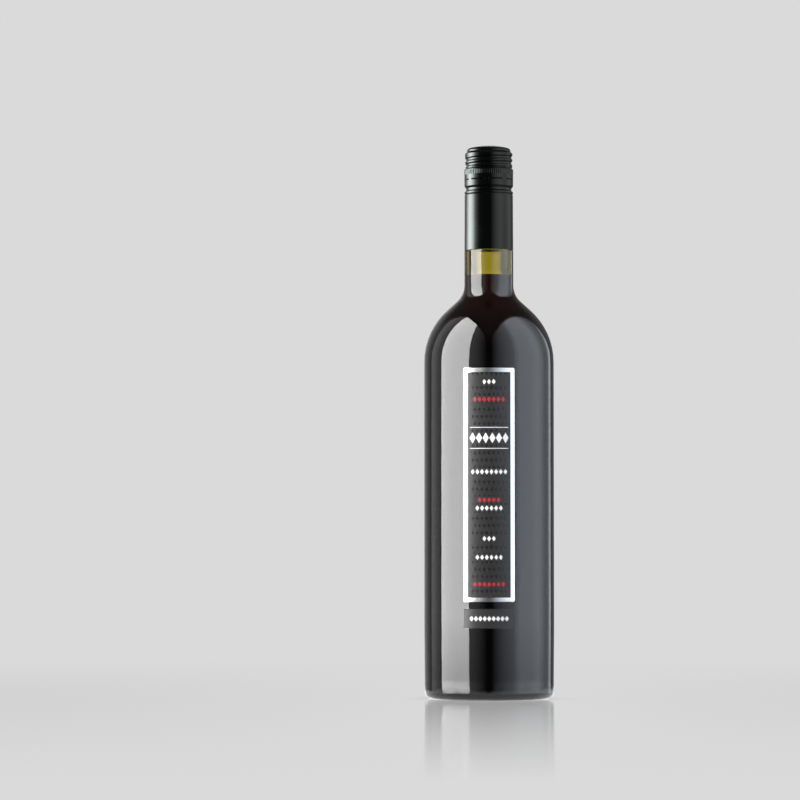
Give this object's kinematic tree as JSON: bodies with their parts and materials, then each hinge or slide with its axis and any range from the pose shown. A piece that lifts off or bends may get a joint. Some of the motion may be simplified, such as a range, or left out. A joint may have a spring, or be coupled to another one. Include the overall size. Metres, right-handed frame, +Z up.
{
  "type": "wine bottle",
  "caption": "Tall high-shouldered glass bottle full of red wine, shut with a long rolled metal screw cap, with a narrow foil-framed label on its front.",
  "frame": {"origin": "middle of the ring that the bottle stands on, at its lowest level", "axes": "+Z up along the bottle's axis, the label faces -Y, +X is to the right of someone looking at the label"},
  "size_m": [0.0746, 0.075, 0.318],
  "materials": {
    "tinted_glass": "clear yellow-green bottle glass, polished, very slightly wavy",
    "red_wine": "deep red wine, almost black in the body and dark maroon in the neck",
    "lacquered_aluminium": "rolled aluminium with a very dark green satin lacquer",
    "label_print": "smooth dark grey label paper with a satin varnish",
    "silver_foil": "bright hot-stamped silver foil"
  },
  "bodies": {
    "root": {"glass_bottle": "tinted_glass", "wine": "red_wine", "screw_cap": "lacquered_aluminium", "front_label": "label_print", "label_foil_frame": "silver_foil", "lower_label": "label_print"}
  },
  "joints": []
}
